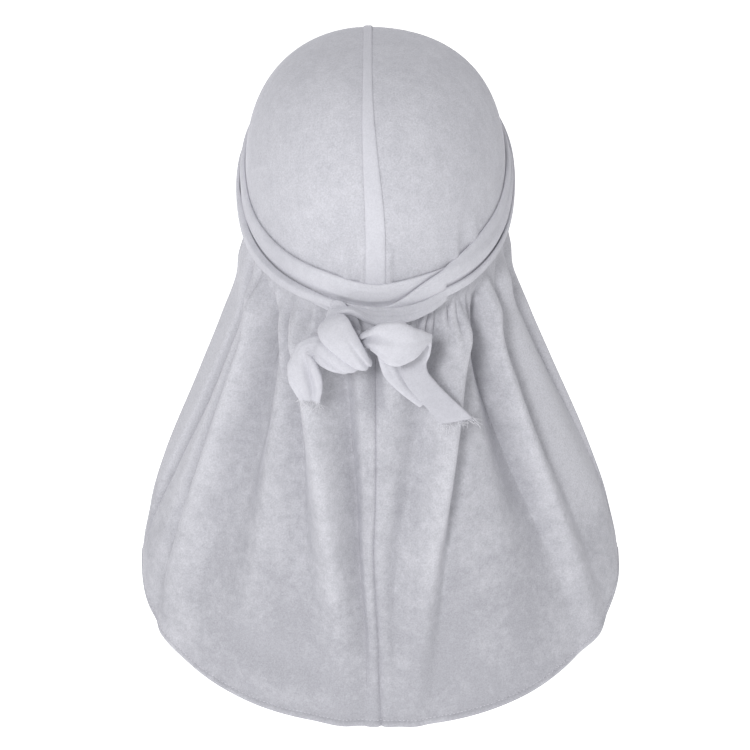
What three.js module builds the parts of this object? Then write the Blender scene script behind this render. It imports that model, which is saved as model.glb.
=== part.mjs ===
// A velvet durag, tied as it is worn, in millimetres.
// The origin is inside the crown, at the point that rests on the top of the head.
// +Z is up, the wearer faces +Y and +X is the wearer's right. The knot is at the back, on the -Y side.
import * as THREE from "three";

// The head that the crown is stretched over
const headWidth = 151.2;
const headLength = 189.2;
const crownHeight = 82.6; // from the head's widest level up to the inside of the crown's top
const napeHeight = 130; // how slowly the head narrows below its widest level
const fullness = 2.6; // exponent of the head's upright outline, where 2 is an ellipse

// Cloth
const crownCloth = 1.4;
const capeCloth = 1.4;
const tieCloth = 1.3; // a tie lies folded flat
const tieWidth = 14.5; // as it lies round the head
const gap = 0.4; // between two layers
const seamGap = 0.3; // between two edges that are sewn together

// Crown
const rimBelowBand = 3; // the crown's edge lies this far below the middle of the ties
const bandDepth = 9; // the strip along the front edge
const bandHalfTurn = 34; // degrees that the strip reaches to each side of the forehead
const seamWidthTop = 4.6;
const seamWidthBack = 9.5;
const seamCloth = 0.9;
const seamAside = 4.5; // over the top the join lies this far to the wearer's left

// Cape
const capeSpread = 93; // degrees from the centre back to the cape's front edges
const capeLength = 281; // down the centre back
const cornerRise = 72; // the side corners end this much higher than the centre back
const capeWidth = 296; // across the hem, as it hangs
const capeAside = 3; // the hem hangs this far to the wearer's right
const capeDepth = 85; // from the centre back of the hem forward to its corners
const capeLean = 14; // the hem hangs this far behind the back of the head
const capeFoldHeight = 8; // the tallest fold
const drapeStart = 34; // below the ties the cape leaves the head's shape over this drop
const foldsHold = 0.35; // share of the way down where the folds begin to fade
const hemRound = 1.08; // above 1 the hem's corners are fuller
const hemWidth = 5;
const hemThicken = 0.8;
const hemFade = 7.5; // above the turned hem its thickness is lost over this

// Knot
const knotLength = 40; // along its own axis
const knotAside = 14; // its middle lies this far to the wearer's left of the centre back
const knotBelowBand = 20;
const knotTilt = 25; // degrees that its right end is raised
const strandAcross = 11.2; // a bunched tie in the knot
const strandDepth = 14.6;
const strandGap = 1.1;
const knotTurns = 1.5;
const knotRoom = 4.5; // room for the cape's gathers between the head and the knot
const leafWidth = 26; // the loop that stands out to the right of the knot
const tailWidth = 13;
const tailCloth = 2.2; // two layers of the tie
const loopCloth = 5;
const looseRound = 0.6; // a loose end's section, from 0 for a flat strip to 1 for an oval

// How the middle of the ties runs round the head: height is a share of the crown's height
const bandLine = [
  { turn: 0, height: -0.39 },
  { turn: 21, height: -0.345 },
  { turn: 42, height: -0.3 },
  { turn: 59, height: -0.235 },
  { turn: 72, height: -0.15 },
  { turn: 86, height: 0 },
  { turn: 100, height: 0.13 },
  { turn: 120, height: 0.235 },
  { turn: 150, height: 0.29 },
  { turn: 180, height: 0.31 },
];

// Each tie's way round the head. Turn is measured from the centre back, lane is how far it lies above
// the middle line and width how wide, both as shares of the tie's width, and layer counts from the crown
const leftTieRoute = [
  { turn: -150, lane: 0.6, width: 0.9, layer: 0 },
  { turn: -120, lane: 0.3, width: 1, layer: 0 },
  { turn: -60, lane: 0.2, width: 1, layer: 0 },
  { turn: 0, lane: 0.06, width: 1, layer: 0 },
  { turn: 60, lane: 0, width: 0.9, layer: 0 },
  { turn: 105, lane: -0.1, width: 0.9, layer: 0 },
  { turn: 132, lane: -0.6, width: 0.9, layer: 0 },
  { turn: 182, lane: -0.6, width: 0.9, layer: 0 },
  { turn: 200, lane: -0.6, width: 0.9, layer: 2 },
  { turn: 232, lane: -0.55, width: 0.9, layer: 2 },
  { turn: 290, lane: -0.36, width: 0.75, layer: 2 },
  { turn: 336, lane: -0.45, width: 0.6, layer: 2 },
];
const rightTieRoute = [
  { turn: -150, lane: 0.6, width: 0.9, layer: 0 },
  { turn: -132, lane: 0.35, width: 1, layer: 1 },
  { turn: -60, lane: 0.12, width: 1.1, layer: 1 },
  { turn: -24, lane: -0.08, width: 1, layer: 1 },
  { turn: -4, lane: -0.38, width: 0.6, layer: 1 },
  { turn: 24, lane: -0.3, width: 0.7, layer: 1 },
  { turn: 70, lane: -0.2, width: 0.9, layer: 1 },
  { turn: 128, lane: -0.1, width: 0.9, layer: 1 },
  { turn: 162, lane: 0.6, width: 0.9, layer: 1 },
  { turn: 182, lane: 0.6, width: 0.9, layer: 1 },
  { turn: 200, lane: 0.6, width: 0.9, layer: 2 },
  { turn: 250, lane: 0.1, width: 0.9, layer: 2 },
  { turn: 290, lane: -0.35, width: 0.8, layer: 2 },
  { turn: 330, lane: -0.5, width: 0.6, layer: 2 },
];

// How each tie comes down to the knot and what it does beyond it. Places are shares of the knot's length
// from its middle. Facing is the turn of the cloth's face from the back towards the wearer's right, and
// lean is how far the face looks up, in degrees
const leftTieApproach = [
  { right: -0.36, up: 0.4, out: -0.36, facing: 0, lean: 50, width: 0.6 * tieWidth, depth: tailCloth },
  { right: -0.54, up: 0.3, out: -0.1, facing: 0, lean: 70, width: 0.6 * tieWidth, depth: loopCloth },
];
const leftTieEnd = [
  { right: 0.41, up: 0.15, out: 0.3, facing: 0, lean: 0, width: 0.75 * leafWidth, depth: loopCloth },
  { right: 0.65, up: 0.16, out: 0.35, facing: 0, lean: 0, width: leafWidth, depth: loopCloth },
  { right: 0.86, up: 0.13, out: 0.3, facing: 10, lean: 0, width: leafWidth, depth: loopCloth },
  { right: 1.04, up: 0.09, out: 0.2, facing: 45, lean: 0, width: 0.85 * leafWidth, depth: tailCloth },
  { right: 1.08, up: 0.02, out: 0.07, facing: 95, lean: 0, width: 0.7 * leafWidth, depth: tailCloth },
  { right: 1.0, up: -0.1, out: -0.03, facing: 150, lean: 0, width: 1.2 * tailWidth, depth: tailCloth },
  { right: 0.88, up: -0.25, out: -0.06, facing: 180, lean: 0, width: tailWidth, depth: tailCloth },
  { right: 0.89, up: -0.5, out: -0.06, facing: 180, lean: 0, width: tailWidth, depth: tailCloth },
  { right: 1.15, up: -0.82, out: -0.04, facing: 180, lean: 0, width: 1.1 * tailWidth, depth: tailCloth },
  { right: 1.52, up: -1.2, out: 0, facing: 180, lean: 0, width: 1.35 * tailWidth, depth: tailCloth },
];
const rightTieApproach = [
  { right: 1.26, up: 0.43, out: -0.42, facing: 10, lean: 20, width: 0.6 * tieWidth, depth: tailCloth },
  { right: 0.86, up: 0.42, out: -0.27, facing: 5, lean: 45, width: 0.6 * tieWidth, depth: loopCloth },
  { right: 0.6, up: 0.38, out: -0.18, facing: 0, lean: 80, width: 0.65 * tieWidth, depth: 1.4 * loopCloth },
];
const rightTieEnd = [
  { right: -0.53, up: -0.42, out: 0.06, facing: 0, lean: 0, width: strandAcross, depth: strandAcross },
  { right: -0.66, up: -0.42, out: 0.12, facing: -10, lean: 0, width: strandAcross, depth: loopCloth },
  { right: -0.73, up: -0.56, out: 0.13, facing: -10, lean: 0, width: tailWidth, depth: loopCloth },
  { right: -0.7, up: -0.78, out: 0.08, facing: -10, lean: 0, width: tailWidth, depth: loopCloth },
  { right: -0.67, up: -1, out: 0.03, facing: 0, lean: 0, width: 1.1 * tailWidth, depth: tailCloth },
];

// How the cape widens from the head to its hem, as shares of its length and of the widening
const capeFlare = [
  { down: 0, flare: 0 },
  { down: 0.18, flare: 0.03 },
  { down: 0.32, flare: 0.19 },
  { down: 0.45, flare: 0.37 },
  { down: 0.7, flare: 0.72 },
  { down: 0.85, flare: 0.875 },
  { down: 1, flare: 1 },
];

// The cape's folds, from the centre seam outwards. Top, middle and bottom are shares of the way to the
// panel's front edge, rise is a share of the tallest fold, and hem is the share of it left at the hem
const leftFolds = [
  { name: "centre seam", top: 0, middle: 0, bottom: 0, rise: 0, hem: 0 },
  { name: "hollow under the knot", top: 0.2, middle: 0.08, bottom: 0.04, rise: -0.25, hem: 0.2 },
  { name: "long ridge", top: 0.4, middle: 0.17, bottom: 0.09, rise: 0.75, hem: 0.1 },
  { name: "its valley", top: 0.43, middle: 0.24, bottom: 0.2, rise: -0.5, hem: 0.1 },
  { name: "gather", top: 0.47, middle: 0.34, bottom: 0.33, rise: 0.3, hem: 0.1 },
  { name: "deep valley", top: 0.54, middle: 0.45, bottom: 0.45, rise: -0.9, hem: 0.1 },
  { name: "side ridge", top: 0.62, middle: 0.62, bottom: 0.68, rise: 1, hem: 0.15 },
  { name: "side valley", top: 0.7, middle: 0.665, bottom: 0.74, rise: -0.6, hem: 0.15 },
  { name: "outer ridge", top: 0.76, middle: 0.74, bottom: 0.84, rise: 0.7, hem: 0.2 },
  { name: "crease", top: 0.86, middle: 0.8, bottom: 0.92, rise: -0.9, hem: 0.3 },
  { name: "flap", top: 0.93, middle: 0.88, bottom: 0.97, rise: 0.2, hem: 0.3 },
  { name: "front edge", top: 1, middle: 1, bottom: 1, rise: -0.3, hem: 0.3 },
];
const rightFolds = [
  { name: "centre seam", top: 0, middle: 0, bottom: 0, rise: 0, hem: 0 },
  { name: "gather", top: 0.12, middle: 0.03, bottom: 0.02, rise: 0.2, hem: 0.1 },
  { name: "hollow under the tail", top: 0.3, middle: 0.08, bottom: 0.05, rise: -0.4, hem: 0.1 },
  { name: "long ridge", top: 0.44, middle: 0.18, bottom: 0.11, rise: 0.85, hem: 0.1 },
  { name: "its valley", top: 0.48, middle: 0.24, bottom: 0.2, rise: -0.6, hem: 0.1 },
  { name: "broad swell", top: 0.51, middle: 0.4, bottom: 0.4, rise: 0, hem: 0.1 },
  { name: "deep valley", top: 0.535, middle: 0.545, bottom: 0.6, rise: -0.8, hem: 0.1 },
  { name: "side ridge", top: 0.57, middle: 0.59, bottom: 0.68, rise: 0.9, hem: 0.15 },
  { name: "side valley", top: 0.66, middle: 0.68, bottom: 0.76, rise: -0.4, hem: 0.2 },
  { name: "outer ridge", top: 0.735, middle: 0.77, bottom: 0.86, rise: 0.5, hem: 0.2 },
  { name: "crease", top: 0.8, middle: 0.865, bottom: 0.95, rise: -0.8, hem: 0.3 },
  { name: "flap", top: 0.9, middle: 0.93, bottom: 0.98, rise: 0.3, hem: 0.3 },
  { name: "front edge", top: 1, middle: 1, bottom: 1, rise: -0.3, hem: 0.3 },
];

// The lowest tie's lower edge lies this share of the tie's width below the middle line
const tiesReachDown = 1.15;
// The head's shape is followed down to this share of the nape's height
const headReachesDown = 0.95;

// Finenesses of the faceted solids
const crownColumns = 20;
const crownRows = 12;
const seamRows = 26;
const bandColumns = 10;
const capeRows = 24;
const columnsPerFold = 2;
const tieStep = 8; // degrees between two sections on the head
const knotStep = 30; // degrees between two sections in the knot
const sectionSides = 10;

const halfWidth = headWidth / 2;
const halfLength = headLength / 2;
const radians = THREE.MathUtils.degToRad;
const { lerp, smoothstep } = THREE.MathUtils;

// Reads a column of a table at a given key: smooth, level at both ends, and without overshoot
function read(rows, key, column, at) {
  let i = 0;
  while (i < rows.length - 2 && at > rows[i + 1][key]) i++;
  const slope = (k) => {
    if (k < 0 || k > rows.length - 2) return 0;
    return (rows[k + 1][column] - rows[k][column]) / (rows[k + 1][key] - rows[k][key]);
  };
  const tangent = (k) => {
    const [before, after] = [slope(k - 1), slope(k)];
    return before * after <= 0 ? 0 : (2 * before * after) / (before + after);
  };
  const span = rows[i + 1][key] - rows[i][key];
  const t = Math.min(Math.max((at - rows[i][key]) / span, 0), 1);
  return (
    rows[i][column] * (1 + 2 * t) * (1 - t) ** 2 +
    rows[i + 1][column] * (3 - 2 * t) * t ** 2 +
    span * (tangent(i) * t * (1 - t) ** 2 - tangent(i + 1) * (1 - t) * t ** 2)
  );
}

// The head's upright outline. Angle is 0 at the top and a quarter turn at the widest level
function heightAt(angle) {
  const upright = Math.cos(angle);
  return Math.sign(upright) * (upright < 0 ? napeHeight : crownHeight) * Math.abs(upright) ** (2 / fullness);
}

function angleAt(height) {
  const share = Math.abs(height) / (height < 0 ? napeHeight : crownHeight);
  return Math.acos(Math.sign(height) * share ** (fullness / 2));
}

// A point over the head: turn in degrees from the centre back towards the wearer's right, height from
// the widest level, and lift outwards from the head's surface
function overHead(turn, height, lift) {
  const reach = Math.abs(Math.sin(angleAt(height))) ** (2 / fullness);
  const at = new THREE.Vector3(halfWidth * reach * Math.sin(radians(turn)), 0, height - crownHeight);
  at.y = -halfLength * reach * Math.cos(radians(turn));
  return at.addScaledVector(outwards(turn, height), lift);
}

function outwards(turn, height) {
  const drop = height < 0 ? napeHeight : crownHeight;
  const reach = Math.abs(Math.sin(angleAt(height))) ** (2 / fullness);
  const level = reach ** (fullness - 1);
  return new THREE.Vector3(
    (level * Math.sin(radians(turn))) / halfWidth,
    (-level * Math.cos(radians(turn))) / halfLength,
    (Math.sign(height) * (Math.abs(height) / drop) ** (fullness - 1)) / drop,
  ).normalize();
}

// The height of the middle line of the ties at a turn, which may run past half a circle
function bandHeight(turn) {
  const fromBack = Math.abs(((((turn + 180) % 360) + 360) % 360) - 180);
  return crownHeight * read(bandLine, "turn", "height", fromBack);
}

function rimHeight(turn) {
  return bandHeight(turn) - rimBelowBand;
}

// One closed body from two grids of points, the outer one seen with its rows running down and its
// columns to the right
function wall(outer, inner) {
  const [rows, columns] = [outer.length, outer[0].length];
  const points = [...outer.flat(), ...inner.flat()];
  const index = (side, i, j) => side * rows * columns + i * columns + j;
  const faces = [];
  const quad = (a, b, c, d) => faces.push([a, b, c], [a, c, d]);
  for (let i = 0; i < rows - 1; i++) {
    for (let j = 0; j < columns - 1; j++) {
      quad(index(0, i, j), index(0, i + 1, j), index(0, i + 1, j + 1), index(0, i, j + 1));
      quad(index(1, i, j), index(1, i, j + 1), index(1, i + 1, j + 1), index(1, i + 1, j));
    }
    quad(index(0, i, 0), index(1, i, 0), index(1, i + 1, 0), index(0, i + 1, 0));
    const last = columns - 1;
    quad(index(0, i, last), index(0, i + 1, last), index(1, i + 1, last), index(1, i, last));
  }
  for (let j = 0; j < columns - 1; j++) {
    quad(index(0, 0, j), index(0, 0, j + 1), index(1, 0, j + 1), index(1, 0, j));
    const last = rows - 1;
    quad(index(0, last, j), index(1, last, j), index(1, last, j + 1), index(0, last, j + 1));
  }
  return body(points, faces);
}

// One closed body through rings of points, with flat ends
function loft(rings) {
  const sides = rings[0].length;
  const points = rings.flat();
  const faces = [];
  for (let i = 0; i < rings.length - 1; i++) {
    for (let k = 0; k < sides; k++) {
      const [a, b] = [i * sides + k, i * sides + ((k + 1) % sides)];
      faces.push([a, b, b + sides], [a, b + sides, a + sides]);
    }
  }
  for (let k = 1; k < sides - 1; k++) {
    const last = (rings.length - 1) * sides;
    faces.push([0, k + 1, k], [last, last + k, last + k + 1]);
  }
  return body(points, faces);
}

// Leaves out the triangles that a row drawn together to one point has lost
function body(points, faces) {
  const apart = (a, b) => points[a].distanceTo(points[b]) > 1e-6;
  const kept = faces.filter(([a, b, c]) => apart(a, b) && apart(b, c) && apart(c, a));
  const geometry = new THREE.BufferGeometry().setFromPoints(kept.flat().map((k) => points[k]));
  geometry.computeVertexNormals();
  return geometry;
}

function piece(name, geometry, colour) {
  const material = new THREE.MeshStandardMaterial({ color: colour, roughness: 0.85, metalness: 0 });
  const mesh = new THREE.Mesh(geometry, material);
  mesh.name = name;
  return mesh;
}

function steps(count, first, last) {
  return Array.from({ length: count + 1 }, (_, k) => lerp(first, last, k / count));
}

// Moves the cloth near the crown's join sideways, most of all over the top
function leanWithSeam(at) {
  const nearSeam = (1 - Math.min(Math.abs(at.x) / halfWidth, 1)) ** 2;
  const nearTop = smoothstep(at.z, -crownHeight, 0);
  at.x -= seamAside * nearSeam * nearTop;
  return at;
}

// Half of the crown, from the top down to its rim. Side is -1 for the wearer's left and 1 for the right
function crownPanel(side) {
  const turns = side < 0 ? steps(crownColumns, -180, 0) : steps(crownColumns, 0, 180);
  const face = (lift) =>
    steps(crownRows, 0, 1).map((share) =>
      turns.map((turn) => {
        const at = leanWithSeam(overHead(turn, heightAt(share * angleAt(rimHeight(turn))), lift));
        at.x += (side * seamGap) / 2;
        return at;
      }),
    );
  return wall(face(crownCloth), face(0));
}

// The raised strip over the join of the crown's halves, from the ties in front to those at the back
function crownSeam() {
  const upperEdge = (route, turn) =>
    bandHeight(turn) + tieWidth * (read(route, "turn", "lane", turn) + 0.5) + gap;
  const backEnd = angleAt(upperEdge(leftTieRoute, 0));
  const frontEnd = -angleAt(upperEdge(rightTieRoute, 180));
  const face = (lift) =>
    steps(seamRows, frontEnd, backEnd).map((angle) => {
      const width = lerp(seamWidthTop, seamWidthBack, smoothstep(angle, 0, backEnd) ** 2);
      return [-0.5, 0, 0.5].map((across) => {
        const at = leanWithSeam(overHead(angle < 0 ? 180 : 0, heightAt(Math.abs(angle)), lift).setX(0));
        at.x += across * width;
        return at;
      });
    });
  const clear = crownCloth + gap;
  return wall(face(clear + seamCloth), face(clear));
}

// The strip along the crown's front edge, in the same layer as the crown
function frontBand() {
  const turns = steps(bandColumns, 180 - bandHalfTurn, 180 + bandHalfTurn);
  const face = (lift) =>
    [0, 0.5, 1].map((share) =>
      turns.map((turn) => overHead(turn, rimHeight(turn) - seamGap - share * bandDepth, lift)),
    );
  return wall(face(crownCloth), face(0));
}

// Where a fold line runs at a share of the way down: through its top, middle and bottom
function foldShare(fold, down) {
  const bend = 2 * (fold.top + fold.bottom) - 4 * fold.middle;
  return fold.top + (fold.bottom - fold.top - bend) * down + bend * down ** 2;
}

// A point of the cape's inner face. Across runs from 0 at the centre seam to 1 at the front edge,
// down from 0 at the crown's rim to 1 at the hem, and rise is the fold's height there
function capePoint(side, across, down, rise) {
  const turn = side * capeSpread * across;
  const top = rimHeight(turn) - seamGap;
  const backHem = rimHeight(0) - capeLength;
  const hem = backHem + cornerRise * (1 - Math.cos((Math.PI / 2) * across)) ** hemRound;
  const height = lerp(top, hem, down);
  const belowTies = bandHeight(turn) - tiesReachDown * tieWidth - height;
  const draped = smoothstep(belowTies, 0, drapeStart);
  const flare = read(capeFlare, "down", "flare", down);
  const half = lerp(halfWidth, capeWidth / 2, flare);
  const depth = lerp(halfLength, capeDepth, down);
  const back = lerp(halfLength, halfLength + capeLean, down);
  const angle = radians(turn);
  const out = new THREE.Vector3(Math.sin(angle) / half, -Math.cos(angle) / depth, 0).normalize();
  const hanging = new THREE.Vector3(half * Math.sin(angle), depth * (1 - Math.cos(angle)) - back);
  hanging.x += capeAside * down ** 2;
  hanging.z = height - crownHeight;
  const near = overHead(turn, Math.max(height, -headReachesDown * napeHeight), 0);
  near.z = hanging.z;
  return near.lerp(hanging, draped).addScaledVector(out, rise * draped);
}

// Half of the cape. Its columns follow the fold lines, with a smooth slope from each to the next
function capePanel(side, folds) {
  const columns = [];
  for (let k = 0; k < folds.length - 1; k++)
    for (let n = 0; n < columnsPerFold; n++) columns.push([folds[k], folds[k + 1], n / columnsPerFold]);
  columns.push([folds.at(-2), folds.at(-1), 1]);
  if (side < 0) columns.reverse();
  const rows = steps(capeRows, 0, 1);
  const middle = rows.map((down) =>
    columns.map(([from, to, share]) => {
      const across = lerp(foldShare(from, down), foldShare(to, down), share);
      const faded = smoothstep(down, foldsHold, 1);
      const height = (fold) => capeFoldHeight * fold.rise * lerp(1, fold.hem, faded);
      const rise = lerp(height(from), height(to), smoothstep(share, 0, 1));
      const at = capePoint(side, across, down, rise);
      at.x += (side * seamGap) / 2;
      return at;
    }),
  );
  const clamp = (k, most) => Math.min(Math.max(k, 0), most);
  const outer = middle.map((row, i) =>
    row.map((at, j) => {
      const downwards = middle[clamp(i + 1, capeRows)][j].clone().sub(middle[clamp(i - 1, capeRows)][j]);
      const rightwards = row[clamp(j + 1, row.length - 1)].clone().sub(row[clamp(j - 1, row.length - 1)]);
      const normal = downwards.cross(rightwards).normalize();
      const toHem = ((capeRows - i) / capeRows) * capeLength;
      const thick = capeCloth + hemThicken * (1 - smoothstep(toHem, hemWidth, hemWidth + hemFade));
      return at.clone().addScaledVector(normal, thick);
    }),
  );
  return wall(outer, middle);
}

// The outline of a tie's section, from a flat strip at round 0 to an ellipse at round 1
function section(width, depth, round) {
  const power = lerp(0.25, 1, round);
  const shape = (value) => Math.sign(value) * Math.abs(value) ** power;
  return steps(sectionSides - 1, 0, sectionSides - 1).map((k) => {
    const angle = (2 * Math.PI * (k + 0.5)) / sectionSides;
    return { across: (shape(Math.cos(angle)) * width) / 2, out: (shape(Math.sin(angle)) * depth) / 2 };
  });
}

// The sections of a tie where it lies round the head. Way is 1 for the left tie and -1 for the right
function sectionsOnHead(route, way) {
  const last = route.at(-1).turn;
  const count = Math.round((last - route[0].turn) / tieStep);
  const middle = (turn) =>
    overHead(way * turn, bandHeight(turn) + tieWidth * read(route, "turn", "lane", turn), 0);
  return steps(count, route[0].turn, last).map((turn) => {
    const centre = middle(turn);
    const forwards = middle(turn + 1).sub(middle(turn - 1)).normalize();
    const height = bandHeight(turn) + tieWidth * read(route, "turn", "lane", turn);
    const face = outwards(way * turn, height);
    const upwards = face.clone().cross(forwards).normalize();
    const width = tieWidth * read(route, "turn", "width", turn);
    const layer = read(route, "turn", "layer", turn);
    const lift = crownCloth + gap + layer * (tieCloth + gap) + tieCloth / 2;
    const ring = section(width, tieCloth, 0).map(({ across, out }) => {
      const beside = centre.clone().addScaledVector(upwards, across);
      const turnThere = THREE.MathUtils.radToDeg(Math.atan2(beside.x / halfWidth, -beside.y / halfLength));
      return overHead(turnThere, beside.z + crownHeight, lift + out);
    });
    return { at: overHead(way * turn, height, lift), face, width, depth: tieCloth, round: 0, ring };
  });
}

// The knot's own frame: along its axis to the right, up across it, and out away from the head
const knotFrame = {
  middle: new THREE.Vector3(
    -knotAside,
    -(halfLength + capeCloth + knotRoom + strandDepth + strandGap / 2),
    bandHeight(0) - knotBelowBand - crownHeight,
  ),
  along: new THREE.Vector3(Math.cos(radians(knotTilt)), 0, Math.sin(radians(knotTilt))),
  up: new THREE.Vector3(-Math.sin(radians(knotTilt)), 0, Math.cos(radians(knotTilt))),
  out: new THREE.Vector3(0, -1, 0),
};

// A strand's place in the knot, a helix round the axis. Share runs from the left end to the right, and
// start is the angle at the left end, from the top over the outside
function inKnot(share, start) {
  const angle = radians(start) + 2 * Math.PI * knotTurns * share;
  const face = knotFrame.up.clone().multiplyScalar(Math.cos(angle));
  face.addScaledVector(knotFrame.out, Math.sin(angle));
  const at = knotFrame.middle.clone().addScaledVector(knotFrame.along, (share - 0.5) * knotLength);
  at.addScaledVector(face, (strandDepth + strandGap) / 2);
  return { at, face, width: strandAcross, depth: strandDepth, round: 1 };
}

function besideKnot({ right, up, out, facing, lean, width, depth }) {
  const at = knotFrame.middle.clone().add(new THREE.Vector3(right, -out, up).multiplyScalar(knotLength));
  const face = new THREE.Vector3(0, -Math.cos(radians(lean)), Math.sin(radians(lean)));
  face.applyAxisAngle(new THREE.Vector3(0, 0, 1), radians(facing));
  return { at, face, width, depth, round: looseRound };
}

// Turns sections off the head into rings, with extra ones between two that lie far apart
function ringsInAir(sections) {
  const curve = (pick) => new THREE.CatmullRomCurve3(sections.map(pick), false, "centripetal");
  const places = curve((part) => part.at);
  const faces = curve((part) => part.face);
  const sizes = curve((part) => new THREE.Vector3(part.width, part.depth, part.round));
  const count = (sections.length - 1) * 2;
  return steps(count, 0, 1).map((t) => {
    const forwards = places.getTangent(t);
    const upwards = faces.getPoint(t).cross(forwards).normalize();
    const face = forwards.clone().cross(upwards).normalize();
    const size = sizes.getPoint(t);
    return section(size.x, size.y, size.z).map(({ across, out }) =>
      places.getPoint(t).addScaledVector(upwards, across).addScaledVector(face, out),
    );
  });
}

function tie(route, way, approach, strand, end) {
  const onHead = sectionsOnHead(route, way);
  const inAir = [onHead.at(-1), ...approach.map(besideKnot), ...strand, ...end.map(besideKnot)];
  return loft([...onHead.map((part) => part.ring), ...ringsInAir(inAir).slice(1)]);
}

// Both ties come in over the top. The left one leaves the knot early, at its outside, for the loop
const halfSteps = Math.round((360 * knotTurns) / knotStep / 2);
const leftStrand = steps(halfSteps - 3, 0.04, 0.7).map((share) => inKnot(share, 0));
const rightStrand = steps(halfSteps, 0.92, 0.06).map((share) => inKnot(share, 180));

const durag = new THREE.Group();
durag.name = "durag";
durag.add(
  piece("crown_panel_left", crownPanel(-1), 0xc4c4cb),
  piece("crown_panel_right", crownPanel(1), 0xc4c4cb),
  piece("crown_seam", crownSeam(), 0xd2d2d8),
  piece("front_band", frontBand(), 0xcacad1),
  piece("cape_panel_left", capePanel(-1, leftFolds), 0xc4c4cb),
  piece("cape_panel_right", capePanel(1, rightFolds), 0xc4c4cb),
  piece("tie_left", tie(leftTieRoute, 1, leftTieApproach, leftStrand, leftTieEnd), 0xd6d7dd),
  piece("tie_right", tie(rightTieRoute, -1, rightTieApproach, rightStrand, rightTieEnd), 0xd6d7dd),
);

export default durag;
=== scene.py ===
"""A velvet durag tied at the back of the head: stretched crown, wound ties, knot and long cape.

Sizes are in millimetres until a mesh is made. +Z is up and the wearer faces +Y.
"""

import math

import bmesh
import bpy
import numpy as np
from bpy.props import FloatProperty, FloatVectorProperty, IntProperty, PointerProperty
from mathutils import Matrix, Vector


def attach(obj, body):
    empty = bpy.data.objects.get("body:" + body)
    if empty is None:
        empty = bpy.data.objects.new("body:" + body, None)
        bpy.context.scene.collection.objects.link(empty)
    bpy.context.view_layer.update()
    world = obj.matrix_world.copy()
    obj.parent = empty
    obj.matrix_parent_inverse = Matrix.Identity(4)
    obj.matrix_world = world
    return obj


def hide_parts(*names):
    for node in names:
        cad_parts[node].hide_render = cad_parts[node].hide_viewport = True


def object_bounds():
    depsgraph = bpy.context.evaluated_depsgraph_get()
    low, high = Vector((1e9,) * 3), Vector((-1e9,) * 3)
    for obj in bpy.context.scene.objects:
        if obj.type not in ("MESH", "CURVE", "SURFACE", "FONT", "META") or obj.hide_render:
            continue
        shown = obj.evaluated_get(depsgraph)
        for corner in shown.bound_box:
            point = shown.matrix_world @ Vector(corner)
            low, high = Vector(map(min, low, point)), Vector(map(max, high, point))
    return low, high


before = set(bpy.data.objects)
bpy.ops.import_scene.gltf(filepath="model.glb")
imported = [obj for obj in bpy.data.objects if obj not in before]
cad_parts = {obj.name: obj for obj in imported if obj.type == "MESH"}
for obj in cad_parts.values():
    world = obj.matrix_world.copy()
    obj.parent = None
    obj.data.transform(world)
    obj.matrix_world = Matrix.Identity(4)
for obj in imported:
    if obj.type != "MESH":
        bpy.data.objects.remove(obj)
model_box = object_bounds()

bl_info = {
    "name": "Velvet durag",
    "version": (1, 0, 0),
    "blender": (4, 5, 0),
    "location": "View3D > Sidebar > Durag",
    "description": "Builds a velvet durag as it is worn, with its stitches and frayed ends",
    "category": "Add Mesh",
}

MM = 0.001

# Studio, in metres. The picture is shifted by half a pixel of 750
CAMERA_TARGET = (0, -0.0528, -0.1863)
LIGHTS_AIM = (0, -0.05, -0.2)
PICTURE_SHIFT = -0.5 / 750
FLOOR_REACH = 12
WHITE = (1, 1, 1, 1)

# The head that the crown is stretched over
HALF_WIDTH = 75.6
HALF_LENGTH = 94.6
CROWN_HEIGHT = 82.6
NAPE_HEIGHT = 130
FULLNESS = 2.6

# Cloth
CROWN_CLOTH = 1.4
CAPE_CLOTH = 1.4
TIE_CLOTH = 1.3
TIE_WIDTH = 14.5
GAP = 0.4
SEAM_GAP = 0.3
CLEARANCE = 0.15
RIM_BELOW_BAND = 3
BAND_DEPTH = 9
BAND_HALF_TURN = 34
BAND_EDGE = 1.0
BAND_ROLL = 0.5

# Seam strip
SEAM_TOP = 5.2
SEAM_BACK = 9.5
SEAM_WIDENS = 1.6
SEAM_STRETCH = 1.2
SEAM_EDGE = 0.05
SEAM_SWELL = 0.675
SEAM_ASIDE = 4.5
SEAM_TUCK = 0.05

# The groove of the join under the seam strip, and the deepest that the crown's cloth dips
JOIN_DEPTH = 0.35
JOIN_WIDTH = 4
DEEPEST_DIP = 0.3

# Mean radii in mm that turn angles on the head into lengths, and the flat crown's length
JOIN_RADIUS = 60
CROWN_RADIUS = 80
SEAM_RADIUS = 90
TIE_RADIUS = 85
CROWN_REACH = 150

# Cape
CAPE_SPREAD = 93
CAPE_LENGTH = 281
CORNER_RISE = 72
CAPE_HALF = 148
CAPE_ASIDE = 3
CAPE_DEPTH = 85
CAPE_LEAN = 14
FOLD_HEIGHT = 11
DRAPE_START = 26
FOLDS_HOLD = 0.35
HEM_ROUND = 1.08
TIES_REACH_DOWN = 1.15
HEAD_REACHES_DOWN = 0.95
SEAM_DIP = 1.5
KNOT_DIP = 8
WAVE_HEIGHT = 0.4
FINE_WAVE_HEIGHT = 0.28
CREASE_HEIGHT = 1.5
# The darkest painted shade and the brightest painted light of the cape's attribute pile
DARKEST_PAINTED_SHADE = -2.5
BRIGHTEST_PAINTED_LIGHT = 1.2
STITCHES_AT = 0.86
HEM_SWELL = 0.9
STITCH_DEPTH = 0.9

# Knot
KNOT_MIDDLE = (-20, -111.5, -135.6)
KNOT_TILT = 25
KNOT_TALL = 1.35
LOOSE_ROUND = 0.75

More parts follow.
